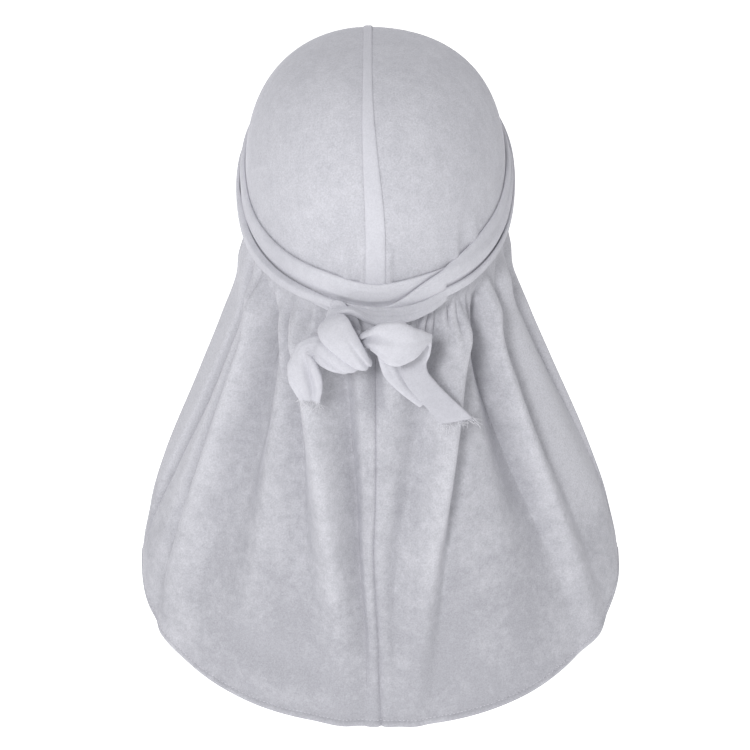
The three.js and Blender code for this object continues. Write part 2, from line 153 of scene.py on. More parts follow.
# Sections of the ties: points along their outer and inner face, and how boxy or oval they are
EDGE_POINTS = 27
INNER_POINTS = 15
FLAT_POWER = 7.0
OVAL_POWER = 2.0
END_BULGE = 0.4

# Creases of the ties: their number, their width on and off the head as a share of the tie's, and
# their depth as a share of its width and at most. Then the share of the loose part where the tail's
# painted darkening starts and where it is full, where the cut end starts, and how far apart two
# layers are at least
CREASES = 3
HEAD_CREASE = 0.07
LOOSE_CREASE = 0.11
CREASE_SHARE = 0.13
DEEPEST_CREASE = 1.6
TAIL_STARTS = (0.78, 0.86)
CUT_STARTS = 0.97
ANOTHER_LAYER = 0.4

# Velvet: share of the broad patches in how the pile leans, their contrast at a crush of 1, what
# the lean adds to the relief, and how dark and light the grain is
PATCH_SHARE = 0.55
PATCH_CONTRAST = 0.25
LEAN_RELIEF = 0.35
GRAIN_DARK = 0.13
GRAIN_LIGHT = 0.1


def table(columns, *rows):
    return {name: np.array(values, float) for name, values in zip(columns.split(), zip(*rows))}


# How the middle of the ties runs round the head, and each tie's way round it
BAND_LINE = table(
    "turn height",
    (0, -0.39), (21, -0.345), (42, -0.3), (59, -0.235), (72, -0.15),
    (86, 0), (100, 0.13), (120, 0.235), (150, 0.29), (180, 0.31),
)
LEFT_ROUTE = table(
    "turn lane width layer",
    (-150, 0.6, 0.9, 0), (-120, 0.3, 1, 0), (-60, 0.24, 1.15, 0), (-25, 0.12, 1.1, 0), (0, 0.02, 1.1, 0),
    (60, 0, 0.9, 0), (105, -0.1, 0.9, 0), (132, -0.6, 0.9, 0), (182, -0.6, 0.9, 0),
    (200, -0.6, 0.9, 2), (232, -0.5, 0.8, 2), (290, -0.48, 0.6, 2), (330, -0.6, 0.62, 2),
    (344, -0.7, 0.7, 2),
)
RIGHT_ROUTE = table(
    "turn lane width layer",
    (-150, 0.6, 0.9, 0), (-132, 0.35, 1, 1), (-95, 0.3, 1.25, 1), (-60, 0.3, 1.5, 1),
    (-42, 0.12, 1.35, 1), (-24, -0.14, 0.95, 1), (-4, -0.5, 0.3, 1), (24, -0.52, 0.32, 1),
    (48, -0.48, 0.38, 1), (70, -0.44, 0.44, 1), (100, -0.3, 0.6, 1), (128, -0.15, 0.8, 1),
    (162, 0.6, 0.9, 1), (182, 0.6, 0.9, 1), (200, 0.6, 0.9, 2), (250, 0, 0.8, 2),
    (290, -0.42, 0.55, 2), (330, -0.5, 0.5, 2),
)

# How the ties wrap round the knot: place along its axis, angle from its top over its front, reach
# from the axis, and the section there
WRAP = "along angle reach width depth folds groove"
LEFT_WRAP = table(
    WRAP,
    (1.5, -8, 9.8, 14, 5.5, 0.1, 0), (1.6, 18, 11, 18, 6.5, 0.15, 0), (2.4, 45, 11.8, 20, 7.5, 0.2, 0),
    (4.4, 75, 12.2, 18, 8, 0.3, 0), (6.3, 105, 12.4, 14.5, 8, 0.5, 0.6),
    (7.4, 135, 12.8, 11, 8, 0.7, 1.2), (7.8, 165, 12.5, 8.5, 8, 0.7, 1), (7.4, 200, 9.5, 7, 7, 0.6, 0),
    (8, 245, 4.5, 6.5, 6, 0.5, 0), (10, 290, 1.5, 6, 5, 0.5, 0.5),
)
RIGHT_WRAP = table(
    WRAP,
    (10, 335, 11.5, 10, 5, 0.4, 0), (8, 285, 11.5, 10, 6, 0.4, 0), (5, 235, 11.5, 10, 7, 0.4, 0),
    (1.6, 195, 12, 11, 8, 0.5, 0), (-1.2, 162, 11.2, 12.5, 8.5, 0.9, 1),
    (-4.5, 128, 10, 14, 8.5, 1.3, 2), (-7.8, 97, 8.8, 15, 8, 1.3, 2),
    (-10.4, 70, 7.4, 14.5, 7.5, 1, 1.4), (-12.8, 48, 5.6, 12.5, 6.5, 0.8, 0.8),
)

# How each tie comes to the knot and what it does beyond it, in mm from the knot's middle
OFF_HEAD = "right up out facing lean width depth folds groove"
LEFT_APPROACH = table(
    OFF_HEAD,
    (-1, 15.5, -7.8, -8, 60, 11.5, 4, 0.4, 0),
)
LEFT_END = table(
    OFF_HEAD,
    (13, 3.5, 3.5, 15, 0, 8, 6, 1.2, 2.2), (17.5, 5.3, 8.5, 10, 0, 13, 6.5, 1.2, 3),
    (24.1, 6.3, 12.2, 4, 0, 23, 7, 0.8, 1.8), (32.4, 5.8, 14.2, 0, 0, 27.5, 7, 0.3, 0.4),
    (40.2, 5.4, 12.7, 12, 0, 21, 6, 0.2, 0), (45.8, 5.5, 9.2, 30, 0, 13, 4.5, 0.15, 0),
    (50.1, 4.6, 4.4, 60, 0, 5.5, 3, 0.1, 0), (50, 0.8, 0.8, 110, 0, 6.5, 2.6, 0.1, 0),
    (46.4, -5.6, -0.8, 160, 0, 10.5, 2.4, 0.2, 0), (42.4, -12.8, 0.2, 178, 0, 13.5, 2.4, 0.3, 0),
    (43, -20.8, 1, 184, 0, 14.5, 2.4, 0.45, 0), (49.4, -31, -0.5, 186, 0, 14.5, 2.3, 0.5, 0),
    (58, -42, -2.5, 184, 0, 15, 2.2, 0.45, 0), (66.5, -52.6, -4.5, 182, 0, 17, 2, 0.4, 0),
)
RIGHT_APPROACH = table(
    OFF_HEAD,
    (49, 14, -17, 12, 25, 8, 3, 0.3, 0), (35.5, 11.5, -11.5, 8, 30, 9.5, 3.6, 0.4, 0),
    (22, 12, -9, 0, 35, 10, 4.5, 0.5, 0),
)
RIGHT_END = table(
    OFF_HEAD,
    (-20, -3.4, 5.4, -35, 20, 12, 6, 0.5, 0.8), (-21, -10, 7.8, -18, 0, 17.5, 6.5, 0.3, 3.2),
    (-19.8, -18.8, 7.3, -8, 0, 19.5, 6.5, 0.2, 4), (-18.2, -28, 4.6, -4, 0, 16.5, 5, 0.3, 3),
    (-17.8, -36, 1.6, 0, -10, 12, 3, 0.4, 1.2),
)
INNER_FOLD = table(
    OFF_HEAD,
    (28.2, -8.5, -4, 6, 0, 15, 2, 0.3, 0.8), (31, -20.5, -5, 8, 0, 14, 2.2, 0.4, 1),
    (35.8, -29.5, -5.5, 10, 0, 10, 2.2, 0.4, 0.8), (41.2, -37, -6.5, 8, 0, 7, 2, 0.3, 0.4),
    (46.8, -43.8, -7.5, 5, 0, 4.5, 1.6, 0.2, 0),
)

# How the cape widens and its centre seam wanders, from its upper edge at 0 to its hem at 1
CAPE_FLARE = table(
    "down flare",
    (0, 0), (0.18, 0.03), (0.32, 0.19), (0.45, 0.37), (0.7, 0.73), (0.85, 0.905), (1, 1),
)
SEAM_WANDER = table(
    "down aside", (0, 0), (0.3, 0), (0.45, -0.5), (0.58, -2), (0.7, -1.2), (0.8, 0), (1, 0.6),
)
# The cape's ridges and valleys from the centre seam outwards: share across at its top, middle and
# bottom, rise, and the share of that rise which is left at the hem
FOLDS = "top middle bottom rise hem"
LEFT_FOLDS = table(
    FOLDS,
    (0, 0, 0, 0, 0), (0.012, 0.012, 0.01, 0, 0), (0.1, 0.03, 0.025, -0.1, 0),
    (0.24, 0.06, 0.045, -0.8, 0.1),
    (0.46, 0.165, 0.1, 0.9, 0.12), (0.5, 0.265, 0.18, -0.75, 0.1), (0.525, 0.4, 0.36, 0.1, 0),
    (0.55, 0.5, 0.49, -0.95, 0), (0.595, 0.56, 0.55, -0.95, 0), (0.635, 0.664, 0.69, 1, 0.2),
    (0.665, 0.71, 0.74, -0.45, 0),
    (0.7, 0.755, 0.8, 0.5, 0.1), (0.735, 0.8, 0.93, 0.1, 0), (0.757, 0.826, 0.965, -1.4, 0),
    (0.79, 0.85, 0.98, 0.35, 0), (0.9, 0.93, 0.99, 0.3, 0), (1, 1, 1, -0.2, 0),
)
RIGHT_FOLDS = table(
    FOLDS,
    (0, 0, 0, 0, 0), (0.012, 0.012, 0.01, 0, 0), (0.1, 0.03, 0.025, 0, 0),
    (0.36, 0.1, 0.045, -0.5, 0),
    (0.5, 0.215, 0.08, 1, 0.12), (0.513, 0.26, 0.13, -0.35, 0.1), (0.522, 0.42, 0.38, -0.15, 0.1),
    (0.552, 0.566, 0.59, -1.2, 0.1), (0.605, 0.63, 0.69, 0.8, 0.25), (0.69, 0.71, 0.77, -0.3, 0.1),
    (0.765, 0.83, 0.9, 0.5, 0.1), (0.83, 0.95, 0.98, -0.2, 0), (0.9, 0.975, 0.99, 0.2, 0),
    (1, 1, 1, 0, 0),
)

# Small gathers under the ties: share across, width of the gather in degrees, height in mm and reach
# down in mm
GATHERS = "across width height reach"
LEFT_GATHERS = table(
    GATHERS,
    (0.1, 1.6, 0.9, 20), (0.17, 1.3, 1.1, 24), (0.24, 1.2, 1.2, 26), (0.3, 1.2, 1.3, 30),
    (0.355, 1.2, 1.4, 34), (0.415, 1.3, 1.7, 60), (0.5, 1.1, 1.9, 70), (0.6, 1.6, 1.2, 60),
    (0.7, 1.4, 1.1, 60), (0.8, 1.4, 0.9, 50), (0.9, 1.8, 0.7, 60),
)
RIGHT_GATHERS = table(
    GATHERS,
    (0.08, 1.6, 0.8, 20), (0.16, 1.4, 1, 24), (0.24, 1.1, 1.5, 30), (0.285, 0.9, 1.4, 26),
    (0.325, 1, 1.6, 30), (0.375, 1.1, 1.6, 42), (0.43, 1.1, 1, 30), (0.62, 1.6, 1.2, 60),
    (0.72, 1.4, 1, 60), (0.84, 1.5, 0.8, 60), (0.93, 1.8, 0.6, 50),
)

# Puckers of the crown: place, width and rise. Those beside the seam go by mm from it, and those of
# the right side by the turn in degrees
PUCKERS = "place width rise"
LEFT_PUCKERS = table(PUCKERS, (9, 2, 1), (13, 2, -0.8), (20, 3, 0.6))
RIGHT_PUCKERS = table(PUCKERS, (9.5, 2, 1), (13.5, 2.2, -0.7))
SIDE_PUCKERS = table(PUCKERS, (36, 1.8, 1), (41, 2, -0.8), (47, 2.2, 0.8))


def lerp(a, b, share):
    return a + (b - a) * share


def smooth(value, low, high):
    t = np.clip((value - low) / (high - low), 0, 1)
    return t * t * (3 - 2 * t)


def hump(value, middle, width):
    return np.exp(-(((value - middle) / width) ** 2))


def unit(vectors):
    return vectors / np.maximum(np.linalg.norm(vectors, axis=-1, keepdims=True), 1e-9)


def ridges(at, rows):
    """The height that a table's ridges and dips have together at a place."""
    return sum(rise * hump(at, place, width) for place, width, rise in zip(*rows.values()))


def stack(*parts):
    return np.stack(np.broadcast_arrays(*parts), axis=-1).astype(float)


def read(rows, column, at):
    """A column of a table at a key: smooth, level at both ends and without overshoot."""
    keys, values = next(iter(rows.values())), rows[column]
    slopes = np.diff(values) / np.diff(keys)
    both = slopes[:-1] + slopes[1:]
    same_way = slopes[:-1] * slopes[1:] > 0
    inner = np.where(same_way, 2 * slopes[:-1] * slopes[1:] / np.where(same_way, both, 1), 0)
    tangents = np.concatenate([[0], inner, [0]])
    k = np.clip(np.searchsorted(keys, at, side="right") - 1, 0, len(keys) - 2)
    span = keys[k + 1] - keys[k]
    t = np.clip((at - keys[k]) / span, 0, 1)
    return (
        values[k] * (1 + 2 * t) * (1 - t) ** 2
        + values[k + 1] * (3 - 2 * t) * t**2
        + span * (tangents[k] * t * (1 - t) ** 2 - tangents[k + 1] * (1 - t) * t**2)
    )


# The head's shape


def height_at(angle):
    upright = np.cos(angle)
    drop = np.where(upright < 0, NAPE_HEIGHT, CROWN_HEIGHT)
    return np.sign(upright) * drop * np.abs(upright) ** (2 / FULLNESS)


def angle_at(height):
    share = np.abs(height) / np.where(np.asarray(height) < 0, NAPE_HEIGHT, CROWN_HEIGHT)
    return np.arccos(np.sign(height) * np.clip(share, 0, 1) ** (FULLNESS / 2))


def outwards(turn, height):
    drop = np.where(np.asarray(height) < 0, NAPE_HEIGHT, CROWN_HEIGHT)
    level = np.abs(np.sin(angle_at(height))) ** (2 * (FULLNESS - 1) / FULLNESS)
    return unit(
        stack(
            level * np.sin(np.radians(turn)) / HALF_WIDTH,
            -level * np.cos(np.radians(turn)) / HALF_LENGTH,
            np.sign(height) * (np.abs(height) / drop) ** (FULLNESS - 1) / drop,
        )
    )


def over_head(turn, height, lift):
    """Points at a turn in degrees from the centre back, a height and a lift off the head's surface."""
    reach = np.abs(np.sin(angle_at(height))) ** (2 / FULLNESS)
    at = stack(
        HALF_WIDTH * reach * np.sin(np.radians(turn)),
        -HALF_LENGTH * reach * np.cos(np.radians(turn)),
        np.asarray(height, float) - CROWN_HEIGHT,
    )
    return at + outwards(turn, height) * np.asarray(lift, float)[..., None]


def band_height(turn):
    from_back = np.abs((np.asarray(turn, float) + 180) % 360 - 180)
    return CROWN_HEIGHT * read(BAND_LINE, "height", from_back)


def rim_height(turn):
    return band_height(turn) - RIM_BELOW_BAND


def lean_with_seam(at):
    near_seam = (1 - np.minimum(np.abs(at[..., 0]) / HALF_WIDTH, 1)) ** 2
    at[..., 0] -= SEAM_ASIDE * near_seam * smooth(at[..., 2], -CROWN_HEIGHT, 0)
    return at


# Meshes


def put(name, data):
    """A new object in the scene."""
    thing = bpy.data.objects.new(name, data)
    bpy.context.scene.collection.objects.link(thing)
    return thing


def new_object(name, points, faces, coordinates, material):
    """A mesh object from points in mm, its faces and coordinates for each point.

    The first two coordinates are the place on the flat cloth in mm. A third one, where there is
    one, is painted light and shade, kept as the attribute pile: above 0 painted lighter, below 0
    painted darker, as painted shade in a valley.
    """
    mesh = bpy.data.meshes.new(name)
    mesh.from_pydata((points * MM).tolist(), [], faces)
    layer = mesh.uv_layers.new(name="cloth")
    corner = np.zeros(len(mesh.loops), np.int32)
    mesh.loops.foreach_get("vertex_index", corner)
    layer.data.foreach_set("uv", (coordinates[corner, :2] * MM).astype(np.float32).ravel())
    if coordinates.shape[1] > 2:
        pile = mesh.attributes.new("pile", "FLOAT", "POINT")
        pile.data.foreach_set("value", coordinates[:, 2].astype(np.float32))
    fixed = bmesh.new()
    fixed.from_mesh(mesh)
    bmesh.ops.remove_doubles(fixed, verts=fixed.verts, dist=1e-6)
    bmesh.ops.dissolve_degenerate(fixed, edges=fixed.edges, dist=1e-7)
    if fixed.calc_volume(signed=True) < 0:
        bmesh.ops.reverse_faces(fixed, faces=fixed.faces)
    fixed.to_mesh(mesh)
    fixed.free()
    mesh.shade_smooth()
    mesh.materials.append(material)
    return put(name, mesh)


def wall(outer, inner, coordinates, pole=False):
    """A cloth wall with a rounded edge from two grids of points. A pole is a first row at one point."""
    middle, half = (outer + inner) / 2, np.linalg.norm(outer - inner, axis=-1, keepdims=True) / 2
    around = np.pad(middle, ((1, 1), (1, 1), (0, 0)), mode="edge")
    away = np.zeros_like(around)

    def beyond(edge, inside):
        """The way out of the cloth, square to its edge."""
        along, out = unit(np.gradient(edge, axis=0)), edge - inside
        return unit(out - along * np.sum(out * along, axis=-1, keepdims=True))

    if not pole:
        away[0, 1:-1] = beyond(middle[0], middle[1]) * half[0]
    away[-1, 1:-1] = beyond(middle[-1], middle[-2]) * half[-1]
    away[1:-1, 0] = beyond(middle[:, 0], middle[:, 1]) * half[:, 0]
    away[1:-1, -1] = beyond(middle[:, -1], middle[:, -2]) * half[:, -1]
    for i, j, down, across in ((0, 0, 1, 1), (0, -1, 1, -2), (-1, 0, -2, 1), (-1, -1, -2, -2)):
        away[i, j] = unit(away[i, across] + away[down, j]) * half[i, j]
    around += away
    rows, columns = around.shape[:2]
    front = np.arange(rows * columns).reshape(rows, columns)
    back = front.copy()
    back[1:-1, 1:-1] = rows * columns + np.arange((rows - 2) * (columns - 2)).reshape(rows - 2, -1)
    around[1:-1, 1:-1] = outer
    points = np.concatenate([around.reshape(-1, 3), inner.reshape(-1, 3)])
    flat = np.pad(coordinates, ((1, 1), (1, 1), (0, 0)), mode="edge")
    kinds = coordinates.shape[-1]
    flat = np.concatenate([flat.reshape(-1, kinds), coordinates.reshape(-1, kinds)])

    def quads(index):
        corners = (index[:-1, :-1], index[1:, :-1], index[1:, 1:], index[:-1, 1:])
        return np.stack([c.ravel() for c in corners], axis=1)

    faces = np.concatenate([quads(front), quads(back)[:, ::-1]])
    return points, faces.tolist(), flat


def tube(rings, coordinates):
    """A closed body through rings of points, with rounded ends."""
    count, sides = rings.shape[:2]
    index = np.arange(count * sides).reshape(count, sides)
    beside = np.roll(index, -1, axis=1)
    faces = np.stack([c.ravel() for c in (index[:-1], beside[:-1], beside[1:], index[1:])], axis=1)
    points, flat = rings.reshape(-1, 3), coordinates.reshape(-1, coordinates.shape[-1])
    centres = []
    for end, inside in ((0, 1), (-1, -2)):
        middle = rings[end].mean(0)
        centres.append(middle + unit(middle - rings[inside].mean(0)) * END_BULGE)
    points = np.concatenate([points, centres])
    flat = np.concatenate([flat, coordinates[[0, -1]].mean(1)])
    first, last = count * sides, count * sides + 1
    caps = [(first, int(beside[0, k]), int(index[0, k])) for k in range(sides)]
    caps += [(last, int(index[-1, k]), int(beside[-1, k])) for k in range(sides)]
    return points, faces.tolist() + caps, flat


def line_object(name, points):
    """A bare line for a Geometry Nodes tree to follow."""
    mesh = bpy.data.meshes.new(name)
    edges = [(k, k + 1) for k in range(len(points) - 1)]
    mesh.from_pydata((points * MM).tolist(), edges, [])
    return put(name, mesh)


def finish_trim(thing):
    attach(thing, "root")


def finish_cloth(thing, node, flat, area=None):
    finish_trim(thing)
    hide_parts(node)


# Materials


def feed(tree, node, inputs):
    """Sets a node's inputs, or links them where the value is another node's output."""
    for key, value in inputs.items():
        if isinstance(value, bpy.types.NodeSocket):
            tree.links.new(value, node.inputs[key])
        else:
            node.inputs[key].default_value = value


def add(tree, kind, inputs, output=None, **settings):
    """The output of a new node. Its settings come first, because its inputs depend on them."""
    node = tree.nodes.new(kind)
    for key, value in settings.items():
        setattr(node, key, value)
    feed(tree, node, inputs)
    return node.outputs[output] if output else next(o for o in node.outputs if o.enabled)


def reckon(tree, operation, *values):
    return add(tree, "ShaderNodeMath", dict(enumerate(values)), operation=operation)


def noise(tree, **inputs):
    """Soft noise over the object's own coordinates."""
    where = add(tree, "ShaderNodeTexCoord", {}, "Object")
    return add(tree, "ShaderNodeTexNoise", {"Vector": where, **inputs})


def ranged(tree, value, low, high, to_low, to_high):
    """A value moved from one range to another."""
    inputs = {"Value": value, "From Min": low, "From Max": high, "To Min": to_low, "To Max": to_high}
    return add(tree, "ShaderNodeMapRange", inputs)


def mixed(tree, factor, a, b, how="MIX"):
    inputs = {"Factor": factor, "A": a, "B": b}
    return add(tree, "ShaderNodeMix", inputs, data_type="RGBA", blend_type=how)


def shader(name):
    material = bpy.data.materials.new(name)
    material.use_nodes = True
    return material, material.node_tree, material.node_tree.nodes["Principled BSDF"]


def velvet(name, finish, shade=1.0, crush=1.0, rough=1.0):
    """Short-piled velvet: the pile leans this way and that in soft patches, over a fine even grain.

    Shade is how much lighter or darker this piece is painted than the two pile colours: painted light
    and shade that differs from piece to piece of the one cloth. Crush is how sharp its patches are and
    rough how strong its grain is. Where a piece has the attribute pile, it paints light and shade in.
    """
    material, tree, surface = shader(name)
    patches = noise(tree, Scale=finish.patch_scale, Detail=5, Roughness=0.68)
    streaks = noise(tree, Scale=finish.patch_scale * 4, Detail=5, Roughness=0.7)
    grain = noise(tree, Scale=finish.grain_scale, Detail=2, Roughness=0.6)
    broad = reckon(tree, "MULTIPLY", patches, PATCH_SHARE)
    leaning = reckon(tree, "MULTIPLY_ADD", streaks, 1 - PATCH_SHARE, broad)
    # The attribute pile paints light and shade into the colour, on top of the random patches
    painted_light_and_shade = add(tree, "ShaderNodeAttribute", {}, "Fac", attribute_name="pile")
    patches_and_painted_light = reckon(tree, "MULTIPLY_ADD", painted_light_and_shade, finish.painted_light_strength, leaning)
    reach = PATCH_CONTRAST / crush
    spread = ranged(tree, patches_and_painted_light, 0.5 - reach, 0.5 + reach, 0, 1)
    shaded, light = ((*[c * shade for c in tone], 1) for tone in (finish.shaded, finish.light))
    tint = mixed(tree, spread, shaded, light)
    speck = ranged(tree, grain, 0.3, 0.7, 1 - GRAIN_DARK * rough, 1 + GRAIN_LIGHT * rough)
    height = reckon(tree, "MULTIPLY_ADD", leaning, LEAN_RELIEF, grain)
    relief = {"Strength": finish.pile_bump, "Distance": 0.0006, "Height": height}
    feed(tree, surface, {
        "Base Color": mixed(tree, 1, tint, speck, "MULTIPLY"),
        "Normal": add(tree, "ShaderNodeBump", relief),
        "Roughness": finish.roughness,
        "Sheen Weight": finish.sheen,
        "Sheen Roughness": 0.45,
        "Sheen Tint": (0.93, 0.93, 1.0, 1),
        "Specular IOR Level": 0.12,
    })
    return material


def thread_material(name, colour):
    """Sewing thread or a loose yarn: twisted, so that it has fine bands along its length."""
    material, tree, surface = shader(name)
    tone = ranged(tree, noise(tree, Scale=2500), 0, 1, 0.9, 1.08)
    tint = mixed(tree, 1, (*colour, 1), tone, "MULTIPLY")
    feed(tree, surface, {"Base Color": tint, "Roughness": 0.6, "Sheen Weight": 0.2})
    return material


# Geometry Nodes


def new_tree(name, values):
    """An empty tree with a geometry in and out, and an input for each of the named values."""
    kinds = {float: "Float", int: "Int", tuple: "Vector"}
    tree = bpy.data.node_groups.new(name, "GeometryNodeTree")
    for way in ("INPUT", "OUTPUT"):
        tree.interface.new_socket("Geometry", in_out=way, socket_type="NodeSocketGeometry")
    for label, value in values.items():
        kind = "NodeSocket" + kinds.get(type(value), "Material")
        tree.interface.new_socket(label, in_out="INPUT", socket_type=kind).default_value = value
    return tree, tree.nodes.new("NodeGroupInput").outputs


def close_tree(tree, given, geometry):
    """Ends a tree: real meshes out of instances, then the material."""
    real = add(tree, "GeometryNodeRealizeInstances", {"Geometry": geometry})
    painted = {"Geometry": real, "Material": given["Material"]}
    result = {"Geometry": add(tree, "GeometryNodeSetMaterial", painted)}
    feed(tree, tree.nodes.new("NodeGroupOutput"), result)
    return tree


def steps_along(tree, given, mode, **step):
    """Points along the line that a tree is given."""
    line = add(tree, "GeometryNodeMeshToCurve", {"Mesh": given["Geometry"]})
    return add(tree, "GeometryNodeResampleCurve", {"Curve": line, **step}, mode=mode)


def random(tree, given, kind, low, high):
    inputs = {"Min": low, "Max": high, "Seed": given["Seed"]}
    return add(tree, "FunctionNodeRandomValue", inputs, data_type=kind)


def vector(tree, x, y, z):
    return add(tree, "ShaderNodeCombineXYZ", {"X": x, "Y": y, "Z": z})


def instances(tree, points, instance, turn, scale):
    inputs = {"Points": points, "Instance": instance, "Rotation": turn, "Scale": scale}
    return add(tree, "GeometryNodeInstanceOnPoints", inputs)


def stitch_tree(values):
    """Stitches along a line: one small bead of thread at each step, lying along the line."""
    tree, given = new_tree("Stitches along a line", values)
    wander, thread = given["Wander"], given["Thread"]
    steps = steps_along(tree, given, "LENGTH", Length=given["Step"])
    stray = random(tree, given, "FLOAT_VECTOR", reckon(tree, "MULTIPLY", wander, -1), wander)
    shifted = add(tree, "GeometryNodeSetPosition", {"Geometry": steps, "Offset": stray})
    bead = add(tree, "GeometryNodeMeshUVSphere", {"Segments": 6, "Rings": 4, "Radius": 0.5})
    along = {"Vector": add(tree, "GeometryNodeInputTangent", {})}
    turn = add(tree, "FunctionNodeAlignRotationToVector", along, axis="X")
    size = vector(tree, given["Stitch Length"], thread, thread)
    return close_tree(tree, given, instances(tree, shifted, bead, turn, size))


def fray_tree(values):
    """Loose yarns out of a cut edge: each one bends its own way and has its own length."""
    tree, given = new_tree("Frayed edge", values)
    longest, spread = given["Longest"], given["Spread"]
    steps = steps_along(tree, given, "COUNT", Count=given["Yarns"])
    bend = {"Resolution": 5, "Start": (-0.15, 0, 0), "Middle": (0.55, 0, 0.05), "End": (1, 0, 0.4)}
    yarn = add(tree, "GeometryNodeCurveQuadraticBezier", bend)
    thin = {"Resolution": 4, "Radius": reckon(tree, "DIVIDE", given["Thread"], longest)}
    section = add(tree, "GeometryNodeCurvePrimitiveCircle", thin)
    skin = {"Curve": yarn, "Profile Curve": section, "Fill Caps": True}
    less = reckon(tree, "MULTIPLY", spread, -1)
    least, most = vector(tree, -math.pi, less, less), vector(tree, math.pi, spread, spread)
    lean = {"Euler": random(tree, given, "FLOAT_VECTOR", least, most)}
    aim = add(
        tree, "FunctionNodeAlignRotationToVector", {"Vector": given["Direction"]}, axis="X"
    )
    turned = {"Rotation": aim, "Rotate By": add(tree, "FunctionNodeEulerToRotation", lean)}
    turn = add(tree, "FunctionNodeRotateRotation", turned, rotation_space="LOCAL")
    length = random(tree, given, "FLOAT", reckon(tree, "MULTIPLY", longest, 0.25), longest)
    skinned = add(tree, "GeometryNodeCurveToMesh", skin)
    return close_tree(tree, given, instances(tree, steps, skinned, turn, length))


def grown(name, line, tree, values):
    """Runs a tree on a line and keeps what it makes as a plain mesh under the given name."""
    modifier = line.modifiers.new("Rule", "NODES")
    modifier.node_group = tree
    for item in tree.interface.items_tree:
        if item.in_out == "INPUT" and item.name in values:
            modifier[item.identifier] = values[item.name]
    bpy.context.view_layer.update()
    evaluated = line.evaluated_get(bpy.context.evaluated_depsgraph_get())
    mesh = bpy.data.meshes.new_from_object(evaluated)
    if not mesh.polygons:
        raise RuntimeError(name + " came out empty")
    mesh.shade_smooth()
    bpy.data.objects.remove(line)
    mesh.name = name
    return put(name, mesh)


# Crown


def crown_face(side, lift, puckers, sizes, rows=110, columns=150):
    share = np.linspace(0, 1, rows)[:, None]
    turn = np.linspace(0, 180, columns)[None, :] * side
    turn = turn[:, ::-1] if side < 0 else turn
    height = height_at(share * angle_at(rim_height(turn)))
    # Small puckers where the cloth is held by the seam strip and under the ties
    from_back = np.abs(np.radians(turn))
    beside = from_back * HALF_LENGTH * np.sin(np.clip(angle_at(height), 0.02, 3))
    pucker = ridges(beside, puckers) + ridges(turn, SIDE_PUCKERS)
    pucker = pucker * (1 - smooth(height - band_height(turn), 12, 40))
    raised = sizes.pucker_height / MM * pucker * (1 - smooth(np.abs(turn), 80, 110))
    join = JOIN_DEPTH * hump(from_back * JOIN_RADIUS, 0, JOIN_WIDTH) * smooth(share, 0.05, 0.3)
    at = lean_with_seam(over_head(turn, height, lift + np.maximum(raised - join, -DEEPEST_DIP)))
    at[..., 0] += side * SEAM_GAP / 2
    return at, stack(np.radians(turn) * CROWN_RADIUS, share * CROWN_REACH)


def seam_edge(route, turn):
    return band_height(turn) + TIE_WIDTH * (read(route, "lane", turn) + 0.5) + GAP


def seam_faces(rows=180, columns=13):
    """The raised strip over the join, thickest in its middle and drawn down at both edges."""
    back_end = angle_at(seam_edge(LEFT_ROUTE, 0)) + SEAM_TUCK
    front_end = -angle_at(seam_edge(RIGHT_ROUTE, 180))
    angle = np.linspace(front_end, back_end, rows)[:, None]
    across = np.linspace(-0.5, 0.5, columns)[None, :]
    to_back = smooth(angle, 0, back_end)
    width = lerp(SEAM_TOP, SEAM_BACK, to_back**SEAM_WIDENS) * lerp(1, SEAM_STRETCH, to_back)
    turn = np.where(angle < 0, 180, 0)
    rounded = (1 - (2 * np.abs(across)) ** 4) ** 0.5
    under = CROWN_CLOTH + CLEARANCE
    faces = []
    for lift in (under + SEAM_EDGE + SEAM_SWELL * rounded, under + 0 * across):
        at = over_head(turn, height_at(np.abs(angle)), lift)
        at[..., 0] = 0
        at = lean_with_seam(at)
        at[..., 0] += across * width
        faces.append(at)
    return faces, stack(across * width, angle * SEAM_RADIUS)


def front_faces(rows=14, columns=70):
    """The narrow folded strip along the forehead."""
    turn = np.linspace(180 - BAND_HALF_TURN, 180 + BAND_HALF_TURN, columns)[None, :]
    share = np.linspace(0, 1, rows)[:, None]
    height = rim_height(turn) - SEAM_GAP - share * BAND_DEPTH
    rolled = BAND_EDGE + BAND_ROLL * (1 - (2 * share - 1) ** 6) ** 0.5
    faces = [over_head(turn, height, lift) for lift in (rolled, 0)]
    return faces, stack(turn, share * BAND_DEPTH)


# Cape


def fold_line(folds, down):
    bend = 2 * (folds["top"] + folds["bottom"]) - 4 * folds["middle"]
    return folds["top"] + (folds["bottom"] - folds["top"] - bend) * down + bend * down**2


def gathered(gathers, across, below):
    """Small gathers that start at the ties' lower edge and die away down the cape."""
    small = 0
    for middle, width, tall, reach in zip(*gathers.values()):
        wander = middle + 0.02 * np.sin(below / 19 + 40 * middle)
        aside = CAPE_SPREAD * (across - wander)
        bank = hump(aside, 0, width) - 0.5 * hump(aside, 1.9 * width, width)
        small = small + tall * bank * (1 - smooth(below, 0.25 * reach, reach))
    return small * smooth(below, -2, 7)


def waved(side, across, down):
    """Slow waves of the lower cape, and the creases across its left half above the hem."""
    waves = WAVE_HEIGHT * np.sin(21.7 * across + 9 * down)
    waves = waves + FINE_WAVE_HEIGHT * np.sin(19 * across - 14 * down + side)
    waves = waves * smooth(down, 0.45, 0.8) * (1 - 0.8 * smooth(down, 0.9, 1))
    if side < 0:
        crease = np.sin(12 * math.pi * (down - 0.9 - 0.03 * np.cos(4 * across)))
        waves = waves + CREASE_HEIGHT * crease * hump(down, 0.87, 0.07) * hump(across, 0.3, 0.22)
    return waves


